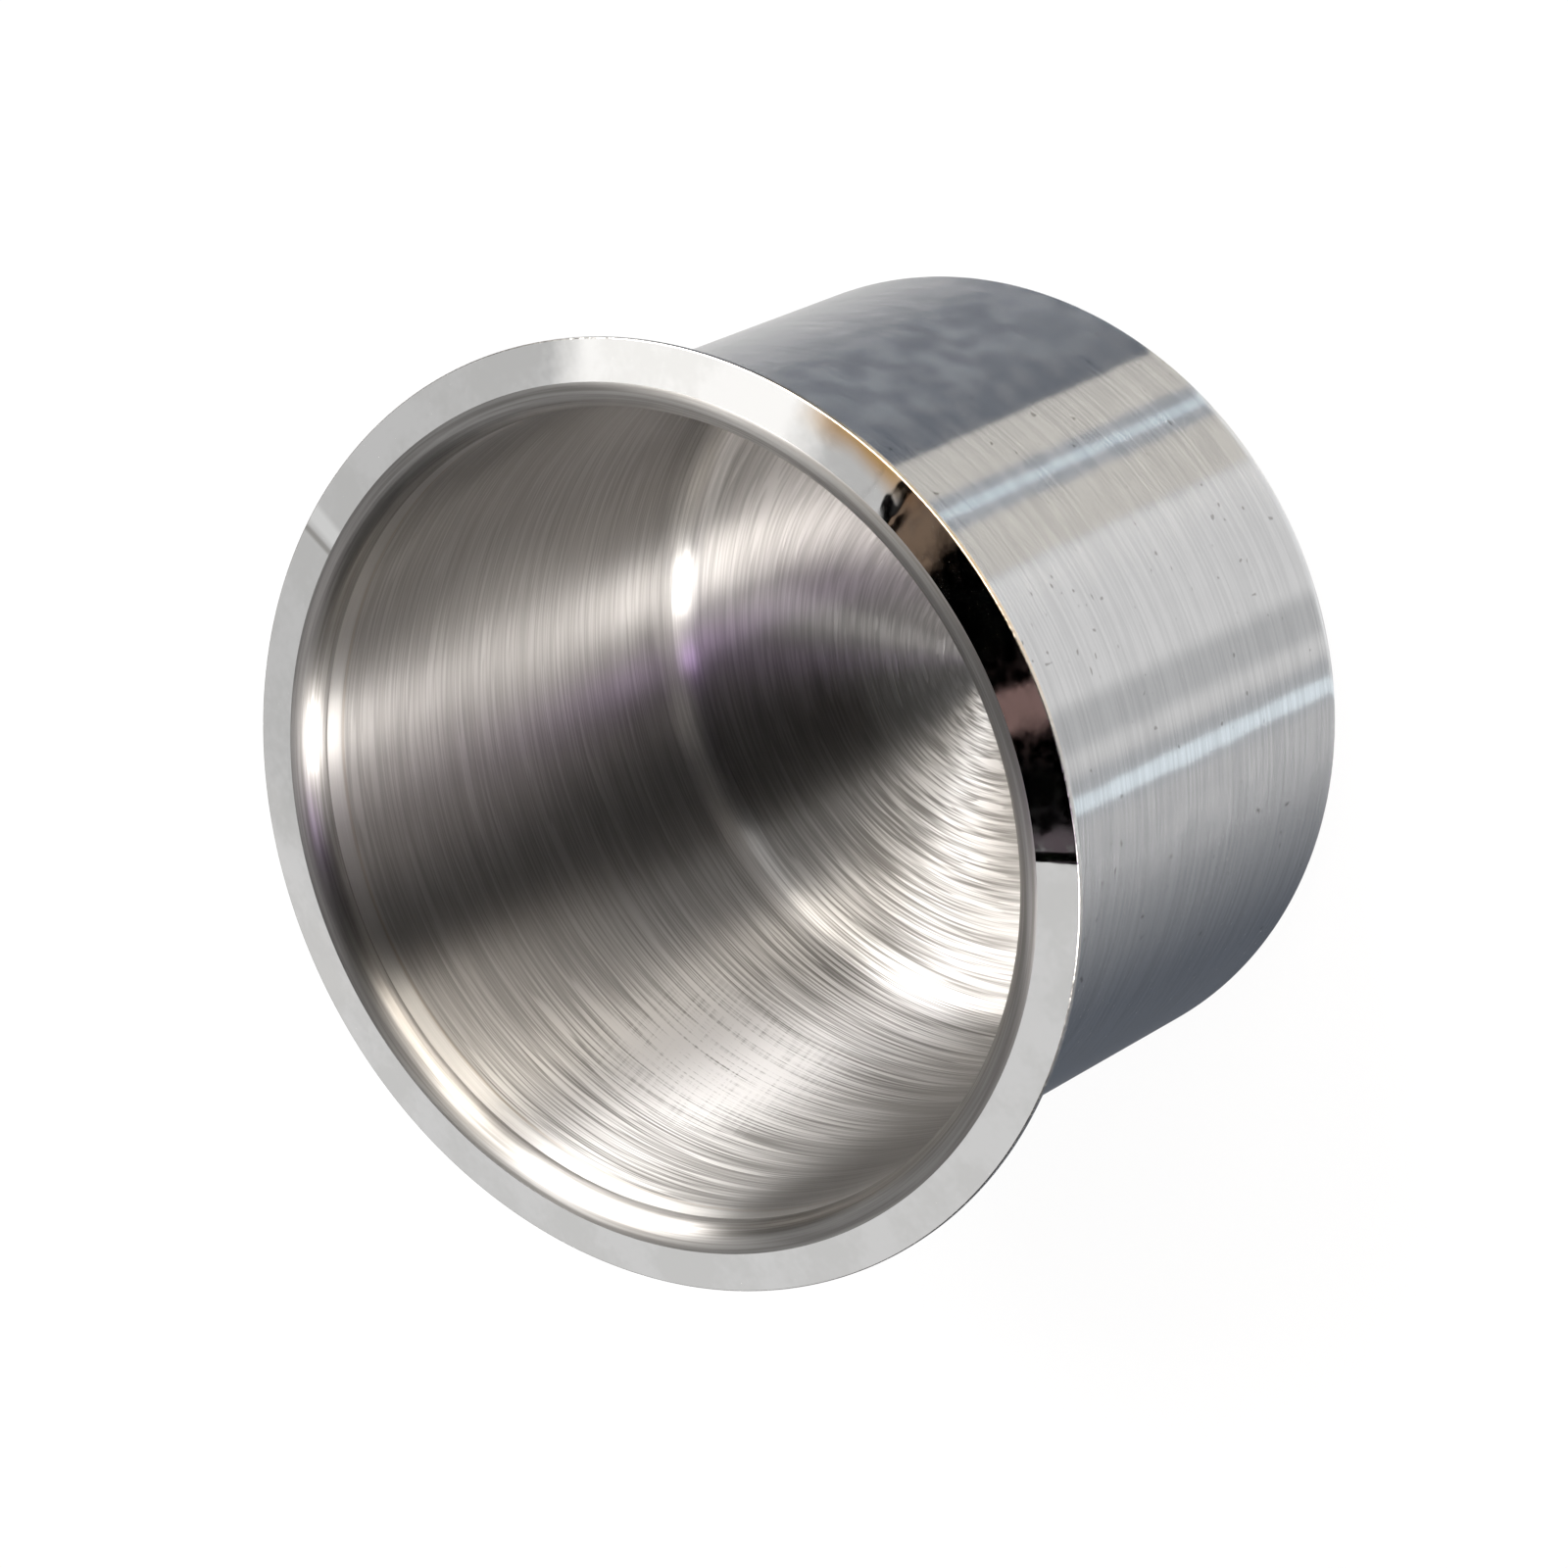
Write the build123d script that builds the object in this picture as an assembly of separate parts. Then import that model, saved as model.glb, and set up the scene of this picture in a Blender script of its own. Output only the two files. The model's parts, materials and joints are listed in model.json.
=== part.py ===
from build123d import *
import math
import os

# A drop-in cup holder, deep drawn from one disc of stainless sheet: a flat base, a straight round
# wall and a mouth that rolls over into a narrow flange, which hangs on the panel that it is set in.
# The axis of the cup is Z. The origin is the centre of the underside of the base.

# Driving sizes, in millimetres and degrees
body_diameter = 88.5  # outside of the wall, which goes through the hole in the panel
flange_overhang = 6.75  # from the outside of the wall to the cut edge of the flange
overall_height = 69.0  # from the underside of the base to the crest of the mouth
sheet_thickness = 0.7
base_corner_radius = 5.0  # outside of the bend from the base to the wall
mouth_radius = 2.55  # top side of the bend from the wall over to the flange
flange_droop = 11.5  # how far the flange falls away towards its edge
edge_break = 0.15  # the cut edge is deburred top and bottom

# Sizes that follow from them
wall_outside_radius = body_diameter / 2
wall_inside_radius = wall_outside_radius - sheet_thickness
flange_radius = wall_outside_radius + flange_overhang
wall_top_height = overall_height - mouth_radius


def sheet_side(floor_height, wall_radius, corner_radius, bend_radius):
    """Draws one side of the sheet from the axis out to the flange's edge, and returns its two ends."""
    base = Line((0, floor_height), (wall_radius - corner_radius, floor_height))
    corner = JernArc(start=base @ 1, tangent=base % 1, radius=corner_radius, arc_size=90)
    wall = Line(corner @ 1, (wall_radius, wall_top_height))
    bend = JernArc(start=wall @ 1, tangent=wall % 1, radius=bend_radius, arc_size=-90 - flange_droop)
    bend_end = bend @ 1
    edge_drop = (flange_radius - bend_end.X) * math.tan(math.radians(flange_droop))
    flange = Line(bend_end, (flange_radius, bend_end.Y - edge_drop))
    return base @ 0, flange @ 1


def drawn_cup():
    """The whole cup, turned about Z from the closed half section of its sheet."""
    with BuildPart() as cup:
        with BuildSketch(Plane.XZ) as section:
            with BuildLine():
                outside_centre, outside_edge = sheet_side(
                    floor_height=0,
                    wall_radius=wall_outside_radius,
                    corner_radius=base_corner_radius,
                    bend_radius=mouth_radius - sheet_thickness,
                )
                inside_centre, inside_edge = sheet_side(
                    floor_height=sheet_thickness,
                    wall_radius=wall_inside_radius,
                    corner_radius=base_corner_radius - sheet_thickness,
                    bend_radius=mouth_radius,
                )
                Line(outside_edge, inside_edge)
                Line(inside_centre, outside_centre)
            make_face()
            cut_edge_corners = section.vertices().group_by(Axis.X)[-1]
            chamfer(cut_edge_corners, length=edge_break)
        revolve(axis=Axis.Z)
    return cup.part


os.makedirs("parts", exist_ok=True)
export_step(drawn_cup(), "parts/cup_insert.step")
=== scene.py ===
import json
import math

import bmesh
import bpy
from mathutils import Matrix, Vector


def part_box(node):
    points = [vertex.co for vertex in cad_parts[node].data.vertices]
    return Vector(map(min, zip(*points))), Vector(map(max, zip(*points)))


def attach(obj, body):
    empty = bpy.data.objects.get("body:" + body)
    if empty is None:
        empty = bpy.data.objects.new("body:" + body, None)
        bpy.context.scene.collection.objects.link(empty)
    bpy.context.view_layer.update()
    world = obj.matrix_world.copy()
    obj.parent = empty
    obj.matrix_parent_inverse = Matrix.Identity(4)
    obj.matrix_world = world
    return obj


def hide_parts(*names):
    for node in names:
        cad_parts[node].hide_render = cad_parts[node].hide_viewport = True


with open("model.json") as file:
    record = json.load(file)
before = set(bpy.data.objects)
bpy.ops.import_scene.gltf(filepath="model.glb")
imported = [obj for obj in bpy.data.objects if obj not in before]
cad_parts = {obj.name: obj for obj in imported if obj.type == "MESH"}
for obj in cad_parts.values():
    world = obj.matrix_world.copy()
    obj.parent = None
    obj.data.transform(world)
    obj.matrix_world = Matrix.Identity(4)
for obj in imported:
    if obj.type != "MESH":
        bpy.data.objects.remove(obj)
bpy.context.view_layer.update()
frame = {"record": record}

MM = 0.001

# Sizes of the cup, in metres: the overall ones come from the frame, and the bends are named here
highest_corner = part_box("cup_insert")[1]
mounts = {mount["name"]: mount for mount in frame["record"]["mounts"]}
flange_radius = highest_corner.x
overall_height = highest_corner.z
wall_inside_radius = mounts["drink_bore"]["dims"]["r_mm"] * MM
wall_outside_radius = mounts["panel_barrel"]["dims"]["r_mm"] * MM
sheet_thickness = wall_outside_radius - wall_inside_radius
base_corner_radius = 5.0 * MM
mouth_radius = 2.55 * MM
flange_droop = math.radians(11.5)
edge_radius = 0.15 * MM
segments_round = 384

# How far above the horizon the photograph was taken from
camera_elevation = math.radians(51.364)


def straight(start, end, steps):
    """Points of a straight run of the section, each with the normal on the left of the way."""
    (r0, z0), (r1, z1) = start, end
    length = math.hypot(r1 - r0, z1 - z0)
    normal = (-(z1 - z0) / length, (r1 - r0) / length)
    points = []
    for step in range(steps + 1):
        share = step / steps
        points.append(((r0 + (r1 - r0) * share, z0 + (z1 - z0) * share), normal))
    return points


def bend(centre, radius, start_angle, end_angle, steps):
    """Points of a round bend of the section, each with the normal on the left of the way."""
    side = -1 if end_angle > start_angle else 1
    points = []
    for step in range(steps + 1):
        angle = start_angle + (end_angle - start_angle) * step / steps
        out = (math.cos(angle), math.sin(angle))
        place = (centre[0] + radius * out[0], centre[1] + radius * out[1])
        points.append((place, (side * out[0], side * out[1])))
    return points


def section_runs():
    """The closed half section of the sheet, from the middle of the base inside, over the mouth and
    back to the middle of the underside, as pairs of a finish and the points of a run."""
    quarter = math.pi / 2
    inside_corner = base_corner_radius - sheet_thickness
    mouth_centre = (wall_inside_radius + mouth_radius, overall_height - mouth_radius)
    under_radius = mouth_radius - sheet_thickness
    floor = sheet_thickness
    inside_base_end = (wall_inside_radius - inside_corner, floor)
    inside_corner_centre = (inside_base_end[0], floor + inside_corner)
    outside_corner_centre = (wall_outside_radius - base_corner_radius, base_corner_radius)

    mouth = bend(mouth_centre, mouth_radius, math.pi, quarter - flange_droop, steps=36)
    crest_end = mouth[-1][0]
    under = bend(mouth_centre, under_radius, quarter - flange_droop, math.pi, steps=24)
    under_start = under[0][0]

    # The cut edge is vertical, with a small round at its top and bottom
    slope = math.tan(flange_droop)
    edge_centre_radius = flange_radius - edge_radius
    edge_step = edge_radius / math.cos(flange_droop)
    top_centre_height = crest_end[1] - (edge_centre_radius - crest_end[0]) * slope - edge_step
    bottom_centre_height = under_start[1] - (edge_centre_radius - under_start[0]) * slope + edge_step
    top_centre = (edge_centre_radius, top_centre_height)
    bottom_centre = (edge_centre_radius, bottom_centre_height)
    top_round = bend(top_centre, edge_radius, quarter - flange_droop, 0.0, steps=6)
    bottom_round = bend(bottom_centre, edge_radius, 0.0, -quarter - flange_droop, steps=6)
    return [
        ("inside", straight((0.0, floor), inside_base_end, steps=16)),
        ("inside", bend(inside_corner_centre, inside_corner, -quarter, 0.0, steps=24)),
        ("inside", straight((wall_inside_radius, floor + inside_corner), mouth[0][0], steps=12)),
        ("mouth", mouth),
        ("flange", straight(crest_end, top_round[0][0], steps=6)),
        ("edge", top_round),
        ("edge", straight(top_round[-1][0], bottom_round[0][0], steps=2)),
        ("edge", bottom_round),
        ("outside", straight(bottom_round[-1][0], under_start, steps=6)),
        ("outside", under),
        ("outside", straight(under[-1][0], (wall_outside_radius, base_corner_radius), steps=12)),
        ("outside", bend(outside_corner_centre, base_corner_radius, 0.0, -quarter, steps=24)),
        ("outside", straight((outside_corner_centre[0], 0.0), (0.0, 0.0), steps=12)),
    ]


def turned_cup(finishes):
    """The section turned about Z, with its exact normals. A ring on the axis is a single point."""
    points, faces_finish = [], []
    for finish, run in section_runs():
        points.extend(run if not points else run[1:])
        faces_finish.extend([finish] * (len(run) - 1))
    on_axis = 0.001 * MM
    finish_names = list(finishes)
    mesh = bpy.data.meshes.new("cup_insert_steel")
    work = bmesh.new()
    normals, rings = [], []
    for (r, z), (nr, nz) in points:
        count = 1 if r < on_axis else segments_round
        flat = 0.0 if count == 1 else nr
        ring = []
        for step in range(count):
            angle = 2 * math.pi * step / segments_round
            ring.append(work.verts.new((r * math.cos(angle), r * math.sin(angle), z)))
            normals.append((flat * math.cos(angle), flat * math.sin(angle), nz))
        rings.append(ring)
    for finish, inner, outer in zip(faces_finish, rings, rings[1:]):
        for step in range(segments_round):
            after = (step + 1) % segments_round
            if len(inner) == 1:
                corners = (inner[0], outer[step], outer[after])
            elif len(outer) == 1:
                corners = (inner[step], outer[0], inner[after])
            else:
                corners = (inner[step], outer[step], outer[after], inner[after])
            face = work.faces.new(corners)
            face.smooth = True
            face.material_index = finish_names.index(finish)
    work.to_mesh(mesh)
    work.free()
    mesh.normals_split_custom_set_from_vertices(normals)
    for material in finishes.values():
        mesh.materials.append(material)
    cup = bpy.data.objects.new("cup_insert_steel", mesh)
    bpy.context.scene.collection.objects.link(cup)
    return cup


def add(tree, kind, inputs=(), **settings):
    """Adds a node with its settings, and fills its sockets with values or links."""
    node = tree.nodes.new(kind)
    for key, value in settings.items():
        setattr(node, key, value)
    for socket, value in dict(inputs).items():
        if isinstance(value, bpy.types.NodeSocket):
            tree.links.new(value, node.inputs[socket])
        else:
            node.inputs[socket].default_value = value
    return node


def maths(tree, operation, *values):
    """The result of a Math node."""
    return add(tree, "ShaderNodeMath", dict(enumerate(values)), operation=operation).outputs[0]


def with_added(tree, total, value, weight):
    """A total with a weighted value added to it."""
    return maths(tree, "MULTIPLY_ADD", value, weight, total)


def spread(tree, value, low, high, to_low=0.0, to_high=1.0):
    """The value taken smoothly from one range to another, and held at its ends."""
    return add(
        tree,
        "ShaderNodeMapRange",
        {"Value": value, "From Min": low, "From Max": high, "To Min": to_low, "To Max": to_high},
        interpolation_type="SMOOTHSTEP",
    ).outputs[0]


def near(tree, value, centre, half, soft):
    """1 where the value is within half of the centre, and 0 beyond its soft edge."""
    off = maths(tree, "ABSOLUTE", maths(tree, "SUBTRACT", value, centre))
    return spread(tree, off, half - soft, half + soft, to_low=1.0, to_high=0.0)


def toned(tree, share, low, high):
    """A colour between two, by a share. Either colour may be the output of a node."""
    ends = [end if isinstance(end, bpy.types.NodeSocket) else (*end, 1.0) for end in (low, high)]

    # Sockets 6 and 7 of this node are its two colours, and output 2 is its colour
    return add(tree, "ShaderNodeMix", {0: share, 6: ends[0], 7: ends[1]}, data_type="RGBA").outputs[2]


def parted(tree, vector):
    """The three parts of a vector."""
    return add(tree, "ShaderNodeSeparateXYZ", {0: vector}).outputs


def turn_round_z(tree, parts):
    """The way round Z in degrees: 0 on the photograph's side, growing toward +X."""
    nearer = maths(tree, "MULTIPLY", parts[1], -1.0)
    return maths(tree, "DEGREES", maths(tree, "ARCTAN2", parts[0], nearer))


def object_place(tree):
    """The place of a point on the cup, in metres."""
    return add(tree, "ShaderNodeTexCoord").outputs["Object"]


def round_the_axis(tree):
    """Where a point is on the cup, for the marks of brushing: the way round as a point of the unit
    circle and as a turn in degrees, the radius, the height, and the way along the section, out over
    the base and then up the wall, all three in metres."""
    parts = parted(tree, object_place(tree))
    square = maths(tree, "MULTIPLY_ADD", parts[0], parts[0], maths(tree, "MULTIPLY", parts[1], parts[1]))
    radius = maths(tree, "SQRT", square)
    return {
        "round_x": maths(tree, "DIVIDE", parts[0], radius),
        "round_y": maths(tree, "DIVIDE", parts[1], radius),
        "turn": turn_round_z(tree, parts),
        "radius": radius,
        "height": parts[2],
        "along": maths(tree, "ADD", radius, parts[2]),
    }


def noise(tree, x, y, z, detail):
    """Noise at a place that is given by its three parts."""
    vector = add(tree, "ShaderNodeCombineXYZ", {0: x, 1: y, 2: z}).outputs[0]
    inputs = {"Vector": vector, "Scale": 1.0, "Detail": detail, "Roughness": 0.6}
    return add(tree, "ShaderNodeTexNoise", inputs).outputs[0]


def blots(tree, per_metre, detail):
    """Noise with no direction, with about so many blots to a metre."""
    inputs = {"Vector": object_place(tree), "Scale": per_metre, "Detail": detail}
    return add(tree, "ShaderNodeTexNoise", inputs).outputs[0]


def marks(tree, place, round_scale, along_scale, detail=1.0, seed=0.0):
    """Noise drawn out round the axis: long round the cup, and fine along its section, with about
    along_scale lines to a metre."""
    return noise(
        tree,
        maths(tree, "MULTIPLY_ADD", place["round_x"], round_scale, seed),
        maths(tree, "MULTIPLY", place["round_y"], round_scale),
        maths(tree, "MULTIPLY", place["along"], along_scale),
        detail,
    )


def slanted_marks(tree, place, slant, across_scale, down_scale):
    """Noise drawn out along lines that cross the brushing of the wall at a slant, in degrees. The
    scales are its blots to a metre, across the lines and down them."""
    metres_per_degree = wall_inside_radius * math.pi / 180
    arc = maths(tree, "MULTIPLY", place["turn"], metres_per_degree)
    rise, run = math.sin(math.radians(slant)), math.cos(math.radians(slant))
    across = maths(tree, "MULTIPLY_ADD", place["along"], run, maths(tree, "MULTIPLY", arc, -rise))
    down = maths(tree, "MULTIPLY_ADD", place["along"], rise, maths(tree, "MULTIPLY", arc, run))
    across = maths(tree, "MULTIPLY", across, across_scale)
    return noise(tree, across, maths(tree, "MULTIPLY", down, down_scale), 0.0, detail=1.0)


def bumped(tree, height, depth):
    """The normal of a surface with bumps of this height map, so many metres deep."""
    inputs = {"Strength": 1.0, "Distance": depth, "Height": height}
    return add(tree, "ShaderNodeBump", inputs).outputs[0]


def new_material(name):
    """An empty material, its tree and its output node."""
    material = bpy.data.materials.new(name)
    material.use_nodes = True
    material.node_tree.nodes.clear()
    return material, material.node_tree, add(material.node_tree, "ShaderNodeOutputMaterial")


def steel(tree, output, colour, roughness, normal, brushing=0.0):
    """The shader of bare steel. Brushing is how strongly lines round the axis draw its gloss out."""
    quarter_turn = 0.25
    inputs = {"Base Color": colour, "Metallic": 1.0, "Roughness": roughness, "Normal": normal}
    if brushing:
        tangent = add(tree, "ShaderNodeTangent", direction_type="RADIAL", axis="Z").outputs[0]
        inputs |= {"Anisotropic": brushing, "Anisotropic Rotation": quarter_turn, "Tangent": tangent}
    shader = add(tree, "ShaderNodeBsdfPrincipled", inputs)
    tree.links.new(shader.outputs[0], output.inputs["Surface"])


def inside_steel():
    """Coarse brushing round the base and the wall, with long scratches, a crossed patch on the
    lower wall, and a smoother band below the mouth that starts at a thin brown line."""
    smooth_band_foot, smooth_band_top = 63.6 * MM, 64.5 * MM
    brown_line_height, brown_line_half = 63.7 * MM, 0.2 * MM
    smooth_tone = (0.66, 0.65, 0.64)
    brown = (0.42, 0.33, 0.24)
    material, tree, output = new_material("brushed_inside")
    place = round_the_axis(tree)
    turn = maths(tree, "WRAP", place["turn"], 360.0, 0.0)
    fine = marks(tree, place, round_scale=3.0, along_scale=3200.0)
    broad = marks(tree, place, round_scale=1.4, along_scale=800.0, seed=4.0)
    scratch = marks(tree, place, round_scale=2.6, along_scale=1300.0, detail=0.0, seed=9.0)
    scratch = spread(tree, scratch, 0.68, 0.76)

    # The crossed patch lies in a wider stretch of the wall that is brushed more coarsely
    crossed_round = near(tree, turn, centre=218.0, half=12.0, soft=8.0)
    crossed_up = near(tree, place["height"], centre=33 * MM, half=12 * MM, soft=8 * MM)
    crossed = maths(tree, "MULTIPLY", crossed_round, crossed_up)
    slanted = slanted_marks(tree, place, slant=76.0, across_scale=2200.0, down_scale=90.0)
    crossing = maths(tree, "MULTIPLY", slanted, crossed)
    coarse = near(tree, turn, centre=222.0, half=22.0, soft=14.0)
    smoother = spread(tree, place["height"], smooth_band_foot, smooth_band_top)

    grooves = with_added(tree, fine, broad, 0.6)
    grooves = with_added(tree, grooves, scratch, 0.8)
    grooves = with_added(tree, grooves, crossing, 0.9)
    roughness = spread(tree, broad, 0.3, 0.7, to_low=0.285, to_high=0.295)
    roughness = with_added(tree, roughness, smoother, 0.06)
    roughness = with_added(tree, roughness, coarse, 0.06)

    shade = with_added(tree, fine, broad, 0.3)
    shade = with_added(tree, shade, scratch, 0.35)
    shade = with_added(tree, shade, crossing, 0.5)
    shade = spread(tree, shade, 0.45, 0.88)
    even = toned(tree, shade, (0.42, 0.41, 0.40), (0.57, 0.56, 0.55))
    streaky = toned(tree, shade, (0.26, 0.25, 0.24), (0.80, 0.79, 0.78))
    tone = toned(tree, coarse, even, streaky)
    tone = toned(tree, maths(tree, "MULTIPLY", smoother, 0.8), tone, smooth_tone)
    brown_line = near(tree, place["height"], brown_line_height, brown_line_half, brown_line_half)
    tone = toned(tree, maths(tree, "MULTIPLY", brown_line, 0.35), tone, brown)
    steel(tree, output, tone, roughness, bumped(tree, grooves, depth=0.02 * MM), brushing=1.0)
    return material


def mouth_steel():
    """The rolled mouth: satin, with fine lines round it."""
    material, tree, output = new_material("satin_mouth")
    fine = marks(tree, round_the_axis(tree), round_scale=2.5, along_scale=2600.0)
    tone = toned(tree, spread(tree, fine, 0.3, 0.7), (0.28, 0.27, 0.26), (0.41, 0.40, 0.39))
    normal = bumped(tree, fine, depth=0.006 * MM)
    steel(tree, output, tone, roughness=0.35, normal=normal, brushing=0.9)
    return material


def flange_steel():
    """A mirror finish that is a little wavy, with dull clouds, faint pits where it has been handled,
    two crumpled places, a mark across it, and a straw tint along its edge where it was heated."""
    tint_starts = flange_radius - 1.6 * MM
    tint_full = flange_radius + 1.2 * MM
    wave_of_tint = 3 * MM
    straw = (0.62, 0.38, 0.16)
    pale = (0.95, 0.95, 0.94)
    dark = (0.45, 0.44, 0.42)
    material, tree, output = new_material("polished_flange")
    place = round_the_axis(tree)
    waves = blots(tree, per_metre=130.0, detail=1.0)
    pits = blots(tree, per_metre=900.0, detail=1.0)
    creases = blots(tree, per_metre=420.0, detail=0.0)

    crumpled_right = near(tree, place["turn"], centre=22.5, half=2.0, soft=1.2)
    crumpled_left = near(tree, place["turn"], centre=-25.5, half=1.2, soft=0.8)
    crumpled = maths(tree, "MAXIMUM", crumpled_right, crumpled_left)
    height = with_added(tree, waves, pits, 0.03)
    height = with_added(tree, height, maths(tree, "MULTIPLY", creases, crumpled), 1.2)

    clouds = with_added(tree, waves, pits, 0.3)
    tone = toned(tree, spread(tree, clouds, 0.50, 0.80), (0.73, 0.725, 0.715), (0.79, 0.785, 0.78))
    outward = with_added(tree, place["radius"], waves, wave_of_tint)
    tinted_round = near(tree, place["turn"], centre=29.0, half=7.0, soft=4.0)
    tinted = maths(tree, "MULTIPLY", tinted_round, spread(tree, outward, tint_starts, tint_full))
    tone = toned(tree, tinted, tone, straw)
    pale_mark = near(tree, place["turn"], centre=118.2, half=1.2, soft=0.6)
    dark_mark = near(tree, place["turn"], centre=120.4, half=0.4, soft=0.3)
    tone = toned(tree, pale_mark, tone, pale)
    tone = toned(tree, dark_mark, tone, dark)
    roughness = spread(tree, pits, 0.3, 0.7, to_low=0.03, to_high=0.07)
    steel(tree, output, tone, roughness, bumped(tree, height, depth=0.04 * MM))
    return material


def edge_steel():
    """The cut edge of the flange, which is straw coloured on the side where the flange was heated."""
    material, tree, output = new_material("cut_edge")
    place = round_the_axis(tree)
    nicks = marks(tree, place, round_scale=60.0, along_scale=900.0)
    straw = toned(tree, nicks, (0.80, 0.62, 0.40), (0.95, 0.88, 0.76))
    pale = toned(tree, nicks, (0.62, 0.60, 0.58), (0.80, 0.79, 0.77))
    heated = near(tree, place["turn"], centre=20.0, half=24.0, soft=12.0)
    normal = bumped(tree, nicks, depth=0.05 * MM)
    steel(tree, output, toned(tree, heated, pale, straw), roughness=0.22, normal=normal)
    return material


def outside_steel():
    """Fine satin brushing on the outside, with a slight unevenness and a few specks."""
    material, tree, output = new_material("brushed_outside")
    place = round_the_axis(tree)
    fine = marks(tree, place, round_scale=2.6, along_scale=2600.0)
    uneven = marks(tree, place, round_scale=18.0, along_scale=260.0, detail=0.0, seed=4.0)
    specks = spread(tree, blots(tree, per_metre=1100.0, detail=0.0), 0.80, 0.86, to_high=0.6)
    tone = toned(tree, spread(tree, fine, 0.3, 0.7), (0.60, 0.605, 0.615), (0.68, 0.685, 0.695))
    tone = toned(tree, specks, tone, (0.25, 0.24, 0.23))
    roughness = spread(tree, uneven, 0.3, 0.7, to_low=0.14, to_high=0.17)
    normal = bumped(tree, maths(tree, "ADD", uneven, fine), depth=0.009 * MM)
    steel(tree, output, tone, roughness, normal, brushing=1.0)
    return material


def make_camera():
    """The camera stands where the photograph was taken from, and is rolled as it was."""
    photo_side = 1600.0
    focal_pixels = 6892.7
    mouth_pixel = (669.314, 838.498)
    sensor_width = 36.0
    distance = 0.697198
    roll = math.radians(-115.155)
    mouth_plane = overall_height - 1.0 * MM

    target = Vector((0.0, 0.0, mouth_plane))
    back = Vector((0.0, -math.cos(camera_elevation), math.sin(camera_elevation)))
    forward = -back
    right = forward.cross(Vector((0.0, 0.0, 1.0))).normalized()
    up = right.cross(forward)
    rolled_right = math.cos(roll) * right + math.sin(roll) * up
    rolled_up = -math.sin(roll) * right + math.cos(roll) * up

    # The view turns a little, so that the middle of the mouth lands on its pixel
    across = (mouth_pixel[0] - photo_side / 2) / focal_pixels
    down = (mouth_pixel[1] - photo_side / 2) / focal_pixels
    ray = Vector((across, -down, 1.0)).normalized()
    turn = Vector((0.0, 0.0, 1.0)).rotation_difference(ray).to_matrix()
    view_right, view_up, view_forward = turn @ Matrix((rolled_right, rolled_up, forward))

    camera_data = bpy.data.cameras.new("camera")
    camera_data.sensor_width = sensor_width
    camera_data.lens = focal_pixels * sensor_width / photo_side
    camera = bpy.data.objects.new("camera", camera_data)
    rotation = Matrix((view_right, view_up, -view_forward)).transposed()
    camera.matrix_world = Matrix.Translation(target + distance * back) @ rotation.to_4x4()
    bpy.context.scene.collection.objects.link(camera)
    bpy.context.scene.camera = camera


def make_floor():
    """A pale floor, which the camera sees as white, with the cup's soft shadow on it. Its material is white
    to glossy rays too, but it is hidden from them, so the metal does not show it.
    """
    half = 1.5
    white_share = 0.93
    corners = [(-half, -half, 0.0), (half, -half, 0.0), (half, half, 0.0), (-half, half, 0.0)]
    mesh = bpy.data.meshes.new("floor")
    mesh.from_pydata(corners, [], [(0, 1, 2, 3)])
    floor = bpy.data.objects.new("floor", mesh)
    bpy.context.scene.collection.objects.link(floor)
    material, tree, output = new_material("floor")
    diffuse = add(tree, "ShaderNodeBsdfDiffuse", {"Color": (0.9, 0.9, 0.9, 1.0)})
    white = add(tree, "ShaderNodeEmission", {"Color": (1.0, 1.0, 1.0, 1.0), "Strength": 1.0})
    path = add(tree, "ShaderNodeLightPath")
    seen = maths(tree, "MAXIMUM", path.outputs["Is Camera Ray"], path.outputs["Is Glossy Ray"])
    seen = maths(tree, "MAXIMUM", seen, path.outputs["Is Transmission Ray"])
    share = maths(tree, "MULTIPLY", seen, white_share)
    mix = add(tree, "ShaderNodeMixShader", {0: share, 1: diffuse.outputs[0], 2: white.outputs[0]})
    tree.links.new(mix.outputs[0], output.inputs["Surface"])
    mesh.materials.append(material)
    floor.visible_glossy = False


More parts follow.
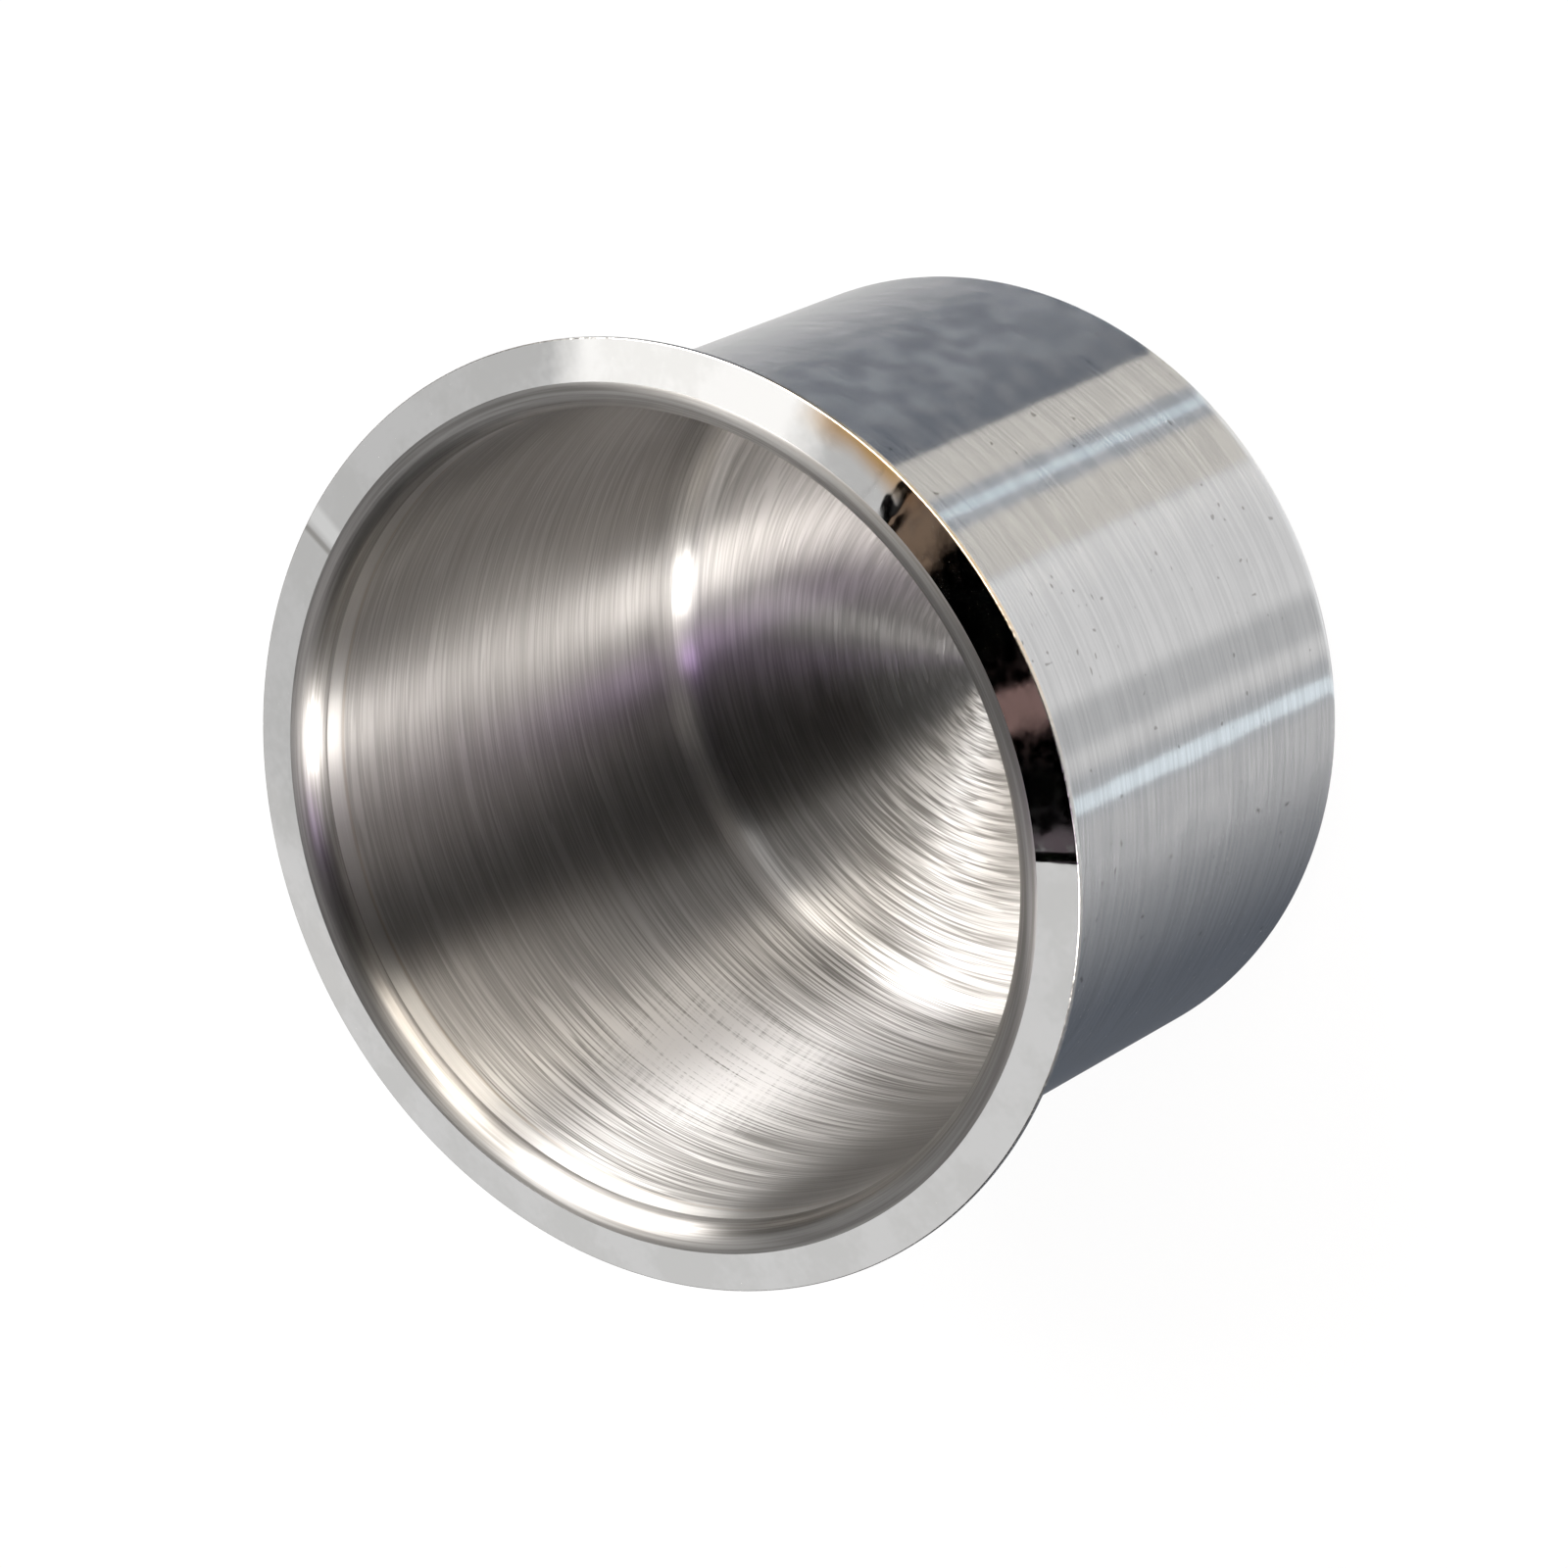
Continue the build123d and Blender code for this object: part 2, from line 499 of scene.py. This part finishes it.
def studio_cards():
    """The soft boxes and dark cards of the studio. Each is its name, turn, rise, half width, half
    height and soft edge, in degrees, and its colour, and covers the ones before it. The first list
    is placed by the bent turn, and the second by the plain one, as make_world says."""
    bent_cards = [
        # Under the horizon, for the outside of the wall
        ("low_left_dark", -64, -56, 31, 34, 26, (0.123, 0.136, 0.160)),
        ("low_right_dark", 33, -56, 31, 34, 15, (0.170, 0.186, 0.216)),
        ("low_front", -3, -56, 14, 34, 2, (0.89, 0.88, 0.87)),
        ("low_right_warm", 20.5, -56, 10, 34, 0.4, (0.70, 0.67, 0.62)),
        ("low_right_line", 20.8, -56, 2.7, 34, 0.6, (0.42, 0.44, 0.47)),
        ("low_streak_right", 20.8, -56, 0.8, 34, 0.3, (0.72, 0.82, 0.88)),
        ("low_left_line", -22, -56, 3.2, 34, 1, (0.56, 0.57, 0.58)),
        ("low_streak_left", -22.5, -56, 1.2, 34, 0.4, (0.98, 1.07, 1.12)),
        ("low_dip", -12.5, -56, 3, 34, 1.5, (0.62, 0.62, 0.62)),
        # Over the horizon, for the inside of the wall and the base
        ("left_wall", -62, 27, 62, 42, 1.5, (0.00, 0.00, 0.00)),
        ("left_glow", -46, 27, 9, 24, 7, (0.25, 0.23, 0.21)),
        ("left_low", -32, 15, 4.2, 14, 0.5, (12.50, 12.00, 11.50)),
        ("left_box", -32, 44, 4.2, 15, 0.5, (13.50, 13.10, 12.70)),
        ("left_mid", -23.6, 37, 4.2, 33, 1, (0.80, 0.75, 0.77)),
        ("violet_card", -20, 57, 2, 13, 0.6, (3.20, 2.10, 4.10)),
        ("right_dark", 80, 15, 13, 27, 1.5, (0.00, 0.00, 0.00)),
        ("front_dark", -6, 32, 13.5, 46, 1, (0.00, 0.00, 0.00)),
        ("right_low", 35.3, 11, 29.7, 17, 1, (9.00, 8.30, 7.30)),
        ("right_high", 39, 47, 19, 21, 1, (5.60, 5.30, 4.90)),
        ("right_edge", 60, 18, 6, 22, 1, (8.60, 8.40, 8.10)),
        ("right_dip", 32.5, 29, 5.5, 34, 1.5, (2.30, 2.20, 2.05)),
        ("right_bright", 46, 14, 9, 20, 1, (9.00, 8.80, 8.50)),
        ("right_core", 43.5, 50, 6, 19, 0.7, (13.20, 13.00, 12.80)),
    ]
    plain_cards = [
        # Behind the cup, for the base and the flange
        ("back_right", 160, 49, 25, 23, 1.5, (0.63, 0.63, 0.63)),
        ("back_left", -160, 50, 26, 25, 1.5, (0.75, 0.75, 0.75)),
        ("back_white", 138, 59, 9, 8, 1.5, (1.22, 1.21, 1.19)),
        ("back_dark", 180, 46, 14, 8, 1.5, (0.00, 0.00, 0.00)),
        ("left_back", -121, 62, 12, 7, 1.5, (0.30, 0.28, 0.28)),
        ("left_behind", -161, 62, 8, 7, 1.5, (1.50, 1.40, 1.40)),
        ("right_back", 119, 64, 13, 6, 1.5, (2.90, 2.80, 2.70)),
        ("back_dark_low", 172, 8, 43, 12, 3, (0.00, 0.00, 0.00)),
        # Overhead, which shows as the dark part of the flange, with its coloured patches
        ("overhead", 0, 90, 181, 18.5, 0.3, (0.00, 0.00, 0.00)),
        ("pink_patch", -168, 77.2, 5, 1.6, 0.3, (0.22, 0.14, 0.13)),
        ("violet_patch", -146, 72.6, 2, 0.7, 0.3, (0.10, 0.08, 0.09)),
        ("brown_patch", 151, 74.3, 4, 1.0, 0.3, (0.20, 0.14, 0.10)),
        # Straight down, for the underside
        ("underneath", 0, -90, 181, 14, 1, (1.10, 1.10, 1.10)),
    ]
    return bent_cards, plain_cards


def card_mask(tree, way, turn, rise, half_turn, half_rise, soft):
    """The mask of a soft-edged card round a direction, all in degrees."""
    half_circle = (180.0, 180.0, 180.0)
    other_half = (-180.0, -180.0, -180.0)
    off = add(tree, "ShaderNodeVectorMath", {0: way, 1: (turn, rise, 0.0)}, operation="SUBTRACT").outputs[0]
    wrap = {0: off, 1: half_circle, 2: other_half}
    off = add(tree, "ShaderNodeVectorMath", wrap, operation="WRAP").outputs[0]
    off = add(tree, "ShaderNodeVectorMath", {0: off}, operation="ABSOLUTE").outputs[0]

    # Sockets 6, 7 and 8 of this node are its vector and the ends of the range, where it is 0 and 1
    outer = (half_turn + soft, half_rise + soft, 1.0)
    inner = (half_turn - soft, half_rise - soft, 0.0)
    fade = {6: off, 7: outer, 8: inner}
    smooth = {"data_type": "FLOAT_VECTOR", "interpolation_type": "SMOOTHSTEP"}
    parts = parted(tree, add(tree, "ShaderNodeMapRange", fade, **smooth).outputs[1])
    return maths(tree, "MULTIPLY", parts[0], parts[1])


def make_world():
    """A pale studio with soft boxes and dark cards, which the metal shows. A direction is a turn,
    which is 0 on the photograph's side and grows toward +X, and a rise over the horizon. Steel that
    is brushed round the axis draws its gloss out, so each place of the wall and the base shows a
    whole line of the studio. The bent turn is the same all along such a line: it is taken round the
    direction that a level mirror would show to the camera, and not round straight up. So a card
    that is placed by the bent turn shows as one clean band."""
    world = bpy.data.worlds.new("studio")
    world.use_nodes = True
    world.cycles.sampling_method = "NONE"
    tree = world.node_tree
    tree.nodes.clear()
    parts = parted(tree, add(tree, "ShaderNodeTexCoord").outputs["Generated"])
    rise = maths(tree, "DEGREES", maths(tree, "ARCSINE", parts[2]))
    way = add(tree, "ShaderNodeCombineXYZ", {0: turn_round_z(tree, parts), 1: rise}).outputs[0]
    nearer = maths(tree, "SUBTRACT", math.cos(camera_elevation), parts[1])
    bent_turn = maths(tree, "DEGREES", maths(tree, "ARCTAN2", parts[0], nearer))
    bent_way = add(tree, "ShaderNodeCombineXYZ", {0: bent_turn, 1: rise}).outputs[0]
    light = (0.84, 0.83, 0.82)
    for card_way, cards in zip((bent_way, way), studio_cards()):
        for name, *place, colour in cards:
            light = toned(tree, card_mask(tree, card_way, *place), light, colour)
            light.node.label = name
    background = add(tree, "ShaderNodeBackground", {"Color": light, "Strength": 1.0})
    output = add(tree, "ShaderNodeOutputWorld")
    tree.links.new(background.outputs[0], output.inputs["Surface"])
    bpy.context.scene.world = world


finishes = {
    "inside": inside_steel(),
    "mouth": mouth_steel(),
    "flange": flange_steel(),
    "edge": edge_steel(),
    "outside": outside_steel(),
}
cup = turned_cup(finishes)
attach(cup, "root")
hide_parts("cup_insert")
make_camera()
make_floor()
make_world()
bpy.context.scene.view_settings.view_transform = "Standard"
